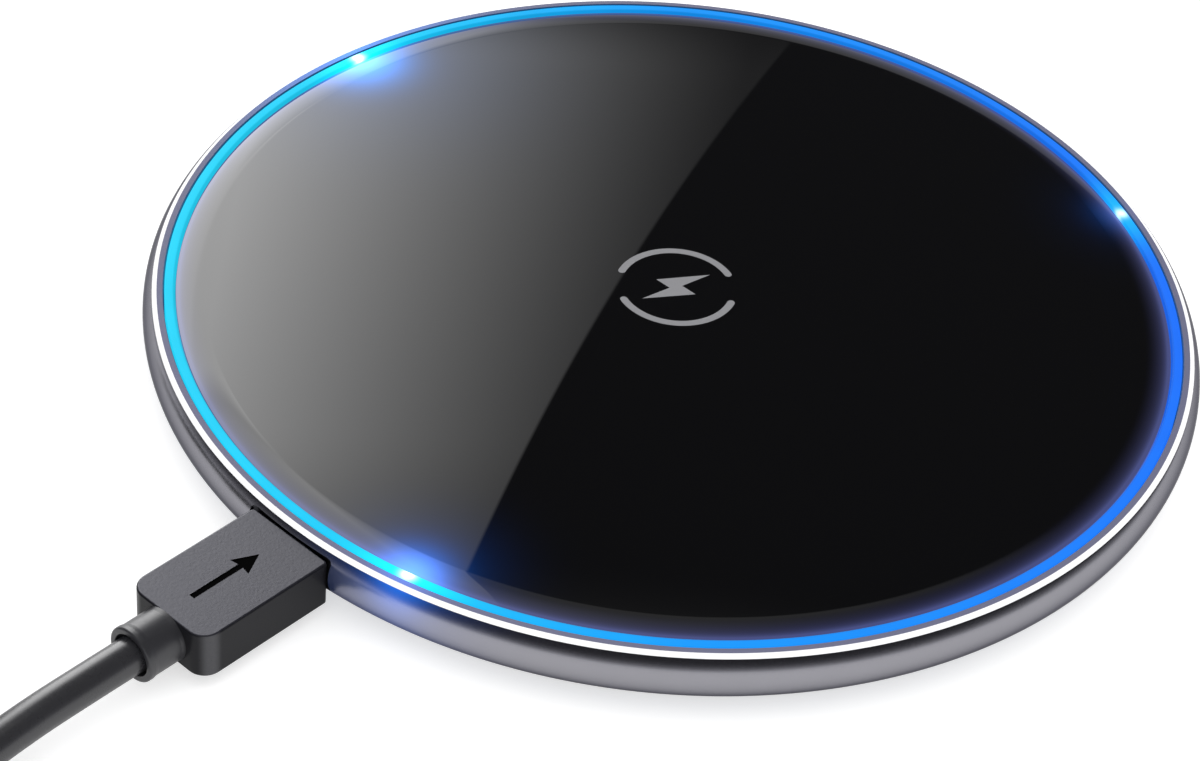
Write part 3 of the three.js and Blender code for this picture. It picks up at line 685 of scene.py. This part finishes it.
def make_plug():
    """The moulding, with an arrow pressed into its top and a socket for its metal shell."""
    low, high = PLUG["axis"] - PLUG["tall"] / 2, PLUG["axis"] + PLUG["tall"] / 2
    mesh = bmesh.new()
    moulding(mesh, PLUG["width"], PLUG["front"], PLUG["back"], PLUG["corners"], low, high, PLUG["edge"],
             steps=10)
    body = loose("pad_plug", mesh, *PLUG_FINISHES)
    neck = ARROW["tip"] + ARROW["head"]
    head, shaft, notch = ARROW["half_head"], ARROW["half_shaft"], neck - ARROW["barb"]
    arrow = [(0, ARROW["tip"]), (head, neck), (shaft, notch), (shaft, ARROW["tail"]),
             (-shaft, ARROW["tail"]), (-shaft, notch), (-head, neck)]
    cutter = bmesh.new()
    prism(cutter, arrow, high - ARROW["depth"], high + CLEAR)
    for face in cutter.faces:
        face.material_index = RECESSED
    mark = loose("arrow", cutter, *PLUG_FINISHES)
    hole = bmesh.new()
    moulding(hole, SOCKET["width"], PLUG["front"] - 2 * CLEAR, SOCKET["root"], (SOCKET["corner"],) * 2,
             PLUG["axis"] - SOCKET["tall"] / 2, PLUG["axis"] + SOCKET["tall"] / 2, SOCKET["corner"])
    carve(body, mark, loose("socket", hole, *PLUG_FINISHES))

    def paint(centre, normal, index):
        return TOP_FACE if index == BODY and normal.z > UPWARD else index

    return settle(body, "cable", ["pad_plug_overmould"], paint=paint, weighted=True)


BOOT = {"start": 63.5, "end": 67.3, "radius": 2.52, "flare": 0.06, "lip": 2.6, "lip_length": 0.95,
        "slope": 0.4, "bend": 0.2, "bore": 1.98, "taper": 0.05, "recess": 0.9}


def make_boot():
    """A short plain boot with a slight lip, which stands round the cable with a dark recess in it."""
    start, end, radius, lip, bore = (BOOT[k] for k in ("start", "end", "radius", "lip", "bore"))
    slope, bend = BOOT["slope"], BOOT["bend"]
    lip_start, floor = end - BOOT["lip_length"], end - BOOT["recess"]
    corners = [(0, start), (radius + BOOT["flare"], start), (radius, start + slope, bend),
               (radius, lip_start, bend), (lip, lip_start + slope, bend), (lip, end, 0.22),
               (bore, end, 0.12), (bore - BOOT["taper"], floor, 0.1), (0, floor)]
    mesh = bmesh.new()
    turned(mesh, rounded(corners, 5), 96, Matrix.Translation((0, 0, PLUG["axis"])) @ ON_Y)
    return settle(loose("pad_plug_sleeve", mesh, SLEEVE), "cable", ["pad_plug_boot"])


# ---- The plug at the far end ----
HOST = {"place": (61.7, 95.0, 3.8), "width": 15.4, "tall": 7.6, "length": 21.0, "boot": 8.0, "edge": 0.5}
HOST_BARS = {"width": 8.4, "length": 0.9, "depth": 0.25, "corner": 0.4, "places": (5.4, 7.4, 9.4)}
HOST_SHELL = {"width": 12.0, "tall": 4.5, "tip": 41.2, "wall": 0.3, "root": 3.0, "gap": 0.15}
HOST_WINDOWS = {"width": 2.3, "start": 5.2, "end": 7.6, "corner": 0.3, "places": (-2.6, 2.6)}


def host_cutter(width, front, back, low, high, radius, finish=BODY):
    mesh = bmesh.new()
    moulding(mesh, width, front, back, (radius, radius), low, high, min(0.08, radius))
    for face in mesh.faces:
        face.material_index = finish
    return loose("host_cutter", mesh, PLUG_BODY, PLUG_RECESS_SHADE)


def make_host_body():
    """The moulding, with three grip bars in its top and a socket for its metal shell."""
    front, back = -HOST["boot"] - HOST["length"], -HOST["boot"]
    half = HOST["tall"] / 2
    mesh = bmesh.new()
    moulding(mesh, HOST["width"], front, back, (0.6, 2.0), -half, half, HOST["edge"], steps=8)
    body = loose("host_plug", mesh, PLUG_BODY, PLUG_RECESS_SHADE)
    bars = [host_cutter(HOST_BARS["width"], back - y, back - y + HOST_BARS["length"],
                        half - HOST_BARS["depth"], half + CLEAR, HOST_BARS["corner"], RECESSED)
            for y in HOST_BARS["places"]]
    gap = HOST_SHELL["gap"]
    shell_half = HOST_SHELL["tall"] / 2 + gap
    shell = host_cutter(HOST_SHELL["width"] + 2 * gap, front - 2 * CLEAR, front + HOST_SHELL["root"] + gap,
                        -shell_half, shell_half, 0.1)
    carve(body, shell, *bars)
    body.data.transform(Matrix.Translation(HOST["place"]))
    return settle(body, "cable", ["host_plug_overmould"], weighted=True)


def make_host_shell():
    """The sheet metal shell, open at its nose, with two windows in each broad side."""
    tip = -HOST_SHELL["tip"]
    root = -HOST["boot"] - HOST["length"] + HOST_SHELL["root"]
    half, wall = HOST_SHELL["tall"] / 2, HOST_SHELL["wall"]
    mesh = bmesh.new()
    moulding(mesh, HOST_SHELL["width"], tip, root, (0.08, 0.08), -half, half, 0.25)
    shell = loose("host_shell", mesh, STEEL)
    bore = bmesh.new()
    moulding(bore, HOST_SHELL["width"] - 2 * wall, tip - 2 * CLEAR, root + 2 * CLEAR, (0.05, 0.05),
             wall - half, half - wall, 0.12)
    windows = []
    for x in HOST_WINDOWS["places"]:
        window = host_cutter(HOST_WINDOWS["width"], tip + HOST_WINDOWS["start"], tip + HOST_WINDOWS["end"],
                             -half - CLEAR, half + CLEAR, HOST_WINDOWS["corner"])
        window.data.transform(Matrix.Translation((x, 0, 0)))
        windows.append(window)
    carve(shell, loose("bore", bore, STEEL), *windows)
    shell.data.transform(Matrix.Translation(HOST["place"]))
    return settle(shell, "cable", ["host_plug_shell"], weighted=True)


HOST_BOOT = {"radius": 2.85, "grooves": 4, "pitch": 1.3, "taper": 0.1, "depth": 0.28,
             "root": ((0, 0.1), (2.95, 0.1), (2.85, 0.5, 0.2)),
             "end": ((2.4, 7.6, 0.1), (2.3, 8.0, 0.2), (1.85, 8.0, 0.1), (1.8, 7.2, 0.1), (0, 7.2))}


def make_host_boot():
    """A tapered boot with grooves round it."""
    corners = [*HOST_BOOT["root"]]
    for k in range(HOST_BOOT["grooves"]):
        y = HOST_BOOT["pitch"] + HOST_BOOT["pitch"] * k
        r = HOST_BOOT["radius"] - HOST_BOOT["taper"] * k
        floor = r - HOST_BOOT["depth"]
        corners += [(r, y, 0.1), (floor, y + 0.12, 0.08), (floor, y + 0.48, 0.08), (r - 0.05, y + 0.6, 0.1)]
    corners += HOST_BOOT["end"]
    mesh = bmesh.new()
    place = Matrix.Translation(Vector(HOST["place"]) - Vector((0, HOST["boot"], 0))) @ ON_Y
    turned(mesh, rounded(corners, 3), 72, place)
    return settle(loose("host_sleeve", mesh, PLUG_BODY), "cable", ["host_plug_boot"])


# ---- The cable ----
CABLE = {"diameter": 3.4, "pitch": 3.45, "length_in_metres": 0.975}
COIL = {"centre": (25.9, 98.0), "outer": 25.858, "inner": 14.142, "low": 2.2, "per_turn": 48,
        "turns": 3.3958, "crossing": 0.5}
LEAD_ROUTE = [(0, 66.5, 3.8), (0, 68.2, 3.8), (0, 72, 3.8), (0, 76.5, 3.75), (0, 80.3, 3.5), (0, 83.7, 3.1),
              (0.01, 88.5, 2.5), (0.03, 93.5, 2.24)]
TAIL_ROUTE = [(46.4, 119.3, 5.0), (51, 117.6, 4.3), (56.4, 113, 3.7), (60.4, 106, 3.5), (61.7, 99, 3.6),
              (61.7, 95.3, 3.8), (61.7, 94.4, 3.8)]
# Points past the two ends, which give the cable its direction there.
BEFORE_LEAD, AFTER_TAIL = (0, 65, 3.8), (61.7, 92, 3.8)


def through(points, before, after, steps):
    """A Catmull-Rom line through points, with the points on either side of them."""
    line, row = [], [before, *points, after]
    for i in range(1, len(row) - 2):
        a, b, c, d = (Vector(p) for p in row[i - 1:i + 3])
        for k in range(steps):
            t = k / steps
            line.append(0.5 * (2 * b + (c - a) * t + (2 * a - 5 * b + 4 * c - d) * t * t
                               + (3 * b - a - 3 * c + d) * t ** 3))
    return line + [Vector(points[-1])]


def coil_line():
    """Inwards on the lower layer, up, and outwards on the upper one, clockwise."""
    line, angle = [], 180.0
    span = COIL["outer"] - COIL["inner"]
    stages = [(COIL["turns"], lambda t: (COIL["outer"] - span * t, 0)),
              (COIL["crossing"], lambda t: (COIL["inner"], t * t * (3 - 2 * t))),
              (COIL["turns"], lambda t: (COIL["inner"] + span * t, 1))]
    for turns, shape in stages:
        steps = round(turns * COIL["per_turn"])
        for k in range(steps):
            radius, rise = shape(k / steps)
            a = math.radians(angle - 360 * turns * k / steps)
            x, y = COIL["centre"][0] + radius * math.cos(a), COIL["centre"][1] + radius * math.sin(a)
            line.append(Vector((x, y, COIL["low"] + CABLE["pitch"] * rise)))
        angle -= 360 * turns
    return line


def make_cable():
    coil = coil_line()
    lead = through([*LEAD_ROUTE, coil[0]], BEFORE_LEAD, coil[1], 4)
    tail = through([coil[-1], *TAIL_ROUTE], coil[-2], AFTER_TAIL, 5)
    line = lead[:-1] + coil + tail[1:]
    data = bpy.data.curves.new("cable_jacket", "CURVE")
    data.dimensions, data.bevel_depth, data.bevel_resolution = "3D", CABLE["diameter"] / 2 * MM, 6
    data.use_fill_caps = True
    spline = data.splines.new("POLY")
    spline.points.add(len(line) - 1)
    for point, place in zip(spline.points, line):
        point.co = (*(place * MM), 1)
    data.materials.append(JACKET)
    made = bpy.data.objects.new("cable_jacket", data)
    bpy.context.scene.collection.objects.link(made)
    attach(made, "cable")
    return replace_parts(made, "cable_lead", "cable_coil", "cable_tail")


TIE = {"angle": -75, "inner": 11.75, "outer": 27.9, "low": 0.36, "high": 7.42, "wall": 0.36, "width": 6.0,
       "corner": 1.6, "edge": 0.08, "end_length": 12, "end_wall": 0.34, "end_steps": 16}


def make_tie():
    """A strap round the coil whose end lies over itself."""
    middle = ((TIE["inner"] + TIE["outer"]) / 2, (TIE["low"] + TIE["high"]) / 2)
    half = ((TIE["outer"] - TIE["inner"]) / 2, (TIE["high"] - TIE["low"]) / 2)

    def band(inner, outer):
        """The strap's cross-sections between an inner and an outer line."""
        rings = []
        w, e = TIE["width"] / 2, TIE["edge"]
        for a, b in zip(inner, outer):
            out = (b - a).normalized() * e
            section = [(a, -w + e), (a + out, -w), (b - out, -w), (b, -w + e),
                       (b, w - e), (b - out, w), (a + out, w), (a, w - e)]
            rings.append([Vector((p.x, y, p.y)) for p, y in section])
        return rings

    def loop(grow):
        radius = TIE["corner"] + grow
        x, z = half[0] + grow - radius, half[1] + grow - radius
        return [p for cx, cz, start in ((x, z, 0), (-x, z, 90), (-x, -z, 180), (x, -z, 270))
                for p in arc((middle[0] + cx, middle[1] + cz), (radius, radius), start, start + 90, 8)]

    mesh = bmesh.new()
    join_rings(mesh, band(loop(0), loop(TIE["wall"])), closed=True)
    top = middle[1] + half[1] + TIE["wall"]
    length, steps = TIE["end_length"], TIE["end_steps"]
    end = [Vector((middle[0] - length / 2 + length * k / steps, top)) for k in range(steps + 1)]
    join_rings(mesh, band(end, [p + Vector((0, TIE["end_wall"])) for p in end]))
    turn = Matrix.Rotation(math.radians(TIE["angle"]), 4, "Z")
    place = Matrix.Translation((*COIL["centre"], 0)) @ turn
    bmesh.ops.transform(mesh, matrix=place, verts=mesh.verts)
    return settle(loose("tie_strap", mesh, RUBBER), "cable", ["cable_tie"])


plug, boot, tie = make_plug(), make_boot(), make_tie()
host_parts = [make_host_body(), make_host_shell(), make_host_boot()]
make_cable()

make_rim()
make_glass()
make_mark()
make_light_guide()
make_foot()

# ---- The CAD pieces that show as they are ----
CARRIED = {
    "glass_adhesive": ADHESIVE, "coil_carrier": PALE_PLASTIC, "bottom_cover": DARK_PLASTIC,
    "cover_screw": STEEL, "charging_coil": COPPER, "coil_lead": COPPER, "ferrite_sheet": FERRITE,
    "coil_foam_pad": FOAM, "thermistor": TAPE, "circuit_board": BOARD, "controller_ic": CHIP,
    "bridge_mosfet": CHIP, "sense_resistor": CHIP, "resonant_capacitor": CERAMIC,
    "input_capacitor": CERAMIC, "input_inductor": FERRITE, "ring_led": LED_PACKAGE, "port_shell": STEEL,
    "port_tongue": DARK_PLASTIC, "pad_plug_shell": STEEL, "pad_plug_insert": DARK_PLASTIC,
    "host_plug_insert": PALE_PLASTIC,
}
for name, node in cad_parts.items():
    for start, finish in CARRIED.items():
        if name.startswith(start):
            node.data.materials.clear()
            node.data.materials.append(finish)


# ---- Studio ----
# In metres. The floor glows, so that it reads as white paper, and less so where a glossy piece mirrors it.
FLOOR = {"radius": 3, "height": -0.00002, "glow": 0.6, "mirrored_glow": 0.35}


def make_floor():
    mesh = bmesh.new()
    angles = [math.radians(a) for a in range(0, 360, 6)]
    outline = [(FLOOR["radius"] * math.cos(a), FLOOR["radius"] * math.sin(a)) for a in angles]
    mesh.faces.new([mesh.verts.new((x, y, FLOOR["height"])) for x, y in outline])
    made = Finish("studio_floor", (0.6, 0.6, 0.6, 1), 0.9, Specular_IOR_Level=0.0,
                  Emission_Color=(1, 1, 1, 1))
    made.colours(made.noise(20, 2), (0.59, 0.59, 0.59, 1), (0.61, 0.61, 0.61, 1))
    mirrored = made.node("ShaderNodeLightPath").outputs["Is Glossy Ray"]
    strength = made.remap(mirrored, 0, 1, FLOOR["glow"], FLOOR["mirrored_glow"])
    made.feed(made.shader.inputs["Emission Strength"], strength)
    floor = loose("studio_floor", mesh, made.material)


# The big softbox that the glass mirrors, by direction: the plane of its sharp edge and how sharp it is, how
# the edge bows between two heights, the direction in which it grows brighter, and its side of the room.
SOFTBOX = {"edge": (0.867, 0.3935, -0.3054), "blur": 0.0006, "bow": 0.88, "between": (0.557, 0.682),
           "brighter": (0.799, 0.595, -0.092), "power": 2.2, "strength": 13.8, "far": (0.634, -0.773, 0)}
# Ranges over a height, or over how bright or how far round a direction is: from, to, and the light at each.
SCREEN = (-0.05, 0.115, 0.12, 0.645)
DIMMER, HIGH_DIMMER, BELOW_TOP = (0.665, 0.705, 1, 0.72), (0.72, 0.88, 1, 0.45), (0.85, 0.95, 1, 0)
FOOT_LEVEL, FOOT_SLANT, SLANTED_FOOT = (0.515, 0.548, 0, 1), 1.6, (0.4, 0.86, 0, 1)
HORIZON, NEAR_END, OPPOSITE = (0.0, 0.12, 0, 1), (0.42, 0.55, 1, 0), (0.15, 0.4, 0, 1)
# The canopy over the softbox, and the wall under it.
CANOPY, HIGH_CANOPY, CANOPY_SIDE = (0.7, 0.75, 0, 0.35), (0.8, 0.95, 0, 0.4), (0.12, 0.4, 0, 1)
WALL_SLANT, WALL = -0.45, (0.49, 0.52, 0.36, 0)


def greys(*stops):
    """Stops of a ramp, each a position and a grey or a colour."""
    return [(position, (*(grey if isinstance(grey, tuple) else (grey,) * 3), 1)) for position, grey in stops]


# From straight down to straight up: the room that gloss mirrors, and the light on matt surfaces.
ROOM = greys((0.0, 0.7), (0.5, (1.0, 1.0, 1.03)), (0.57, (0.3, 0.3, 0.32)), (0.66, (0.085, 0.085, 0.095)),
             (0.76, (0.045, 0.045, 0.05)), (0.963, (0.045, 0.045, 0.05)), (0.987, 0.5))
MATT_LIGHT = greys((0.0, 0.5), (0.5, (0.5, 0.5, 0.51)), (0.8, (1.1, 1.1, 1.11)), (1.0, 1.8))
CAMERA_SKY = (0.96, 0.965, 0.97, 1)


class Studio:
    """The world's nodes: a pale room for the camera, soft light for matt surfaces and a studio for gloss."""

    def __init__(self):
        world = bpy.data.worlds.new("studio")
        bpy.context.scene.world = world
        world.use_nodes = True
        world.cycles.sampling_method = "NONE"
        self.tree = world.node_tree
        self.tree.nodes.clear()
        self.place = self.node("ShaderNodeTexCoord").outputs["Generated"]
        rays = self.node("ShaderNodeLightPath").outputs
        height = self.node("ShaderNodeSeparateXYZ", {0: self.place}).outputs["Z"]
        self.up = self.remap(height, -1, 1, 0, 1)
        matt = self.background(self.ramp(self.up, MATT_LIGHT))
        shiny = self.background(self.shiny_light())
        lit = self.choose(rays["Is Diffuse Ray"], shiny, matt)
        seen = self.choose(rays["Is Camera Ray"], lit, self.background(CAMERA_SKY))
        self.tree.links.new(seen, self.node("ShaderNodeOutputWorld").inputs["Surface"])

    def background(self, colour):
        return self.node("ShaderNodeBackground", {"Color": colour}).outputs[0]

    def choose(self, ray, otherwise, chosen):
        return self.node("ShaderNodeMixShader", ((0, ray), (1, otherwise), (2, chosen))).outputs[0]

    def along(self, direction):
        return self.vector("DOT_PRODUCT", self.place, direction, output="Value")

    def smooth(self, value, limits):
        return self.remap(value, *limits, smooth=True)

    def shiny_light(self):
        parts = self.node("ShaderNodeSeparateXYZ", {0: self.place}).outputs
        height, sideways = parts["Z"], parts["X"]
        bright, opposite = self.along(SOFTBOX["brighter"]), self.smooth(self.along(SOFTBOX["far"]), OPPOSITE)
        masks = [self.inside_edge(height), self.above_foot(height, bright), self.smooth(bright, NEAR_END),
                 self.smooth(height, DIMMER), self.remap(height, *HIGH_DIMMER),
                 self.smooth(height, BELOW_TOP), opposite]
        screen = self.math("POWER", self.remap(bright, *SCREEN), SOFTBOX["power"])
        box = self.math("MULTIPLY", screen, SOFTBOX["strength"])
        for mask in masks:
            box = self.math("MULTIPLY", box, mask)
        canopy = self.math("ADD", self.smooth(height, CANOPY), self.remap(height, *HIGH_CANOPY))
        canopy = self.math("MULTIPLY", canopy, self.smooth(sideways, CANOPY_SIDE))
        wall = self.smooth(self.math("MULTIPLY_ADD", bright, WALL_SLANT, height), WALL)
        around = self.math("MULTIPLY", self.math("ADD", canopy, wall), opposite)
        light = self.vector("SCALE", (1, 1, 1), scale=self.math("ADD", box, around))
        return self.vector("ADD", self.ramp(self.up, ROOM), light)

    def inside_edge(self, height):
        """1 inside the softbox's sharp edge, which bows between two heights."""
        low, high = SOFTBOX["between"]
        bow = self.math("MULTIPLY", self.math("SUBTRACT", height, low), self.math("SUBTRACT", height, high))
        side = self.math("ADD", self.along(SOFTBOX["edge"]), self.math("MULTIPLY", bow, SOFTBOX["bow"]))
        return self.remap(side, -SOFTBOX["blur"], SOFTBOX["blur"], 0, 1)

    def above_foot(self, height, bright):
        """The softbox fades out at its foot, which slants down towards its bright end."""
        slanted = self.remap(self.math("MULTIPLY_ADD", bright, FOOT_SLANT, height), *SLANTED_FOOT)
        above = self.math("MAXIMUM", self.smooth(height, FOOT_LEVEL), slanted)
        return self.math("MULTIPLY", above, self.smooth(height, HORIZON))

    node, feed, math, remap, ramp, vector = (Finish.node, Finish.feed, Finish.math, Finish.remap,
                                             Finish.ramp, Finish.vector)


Studio()
make_floor()
bpy.context.scene.view_settings.view_transform = "Standard"
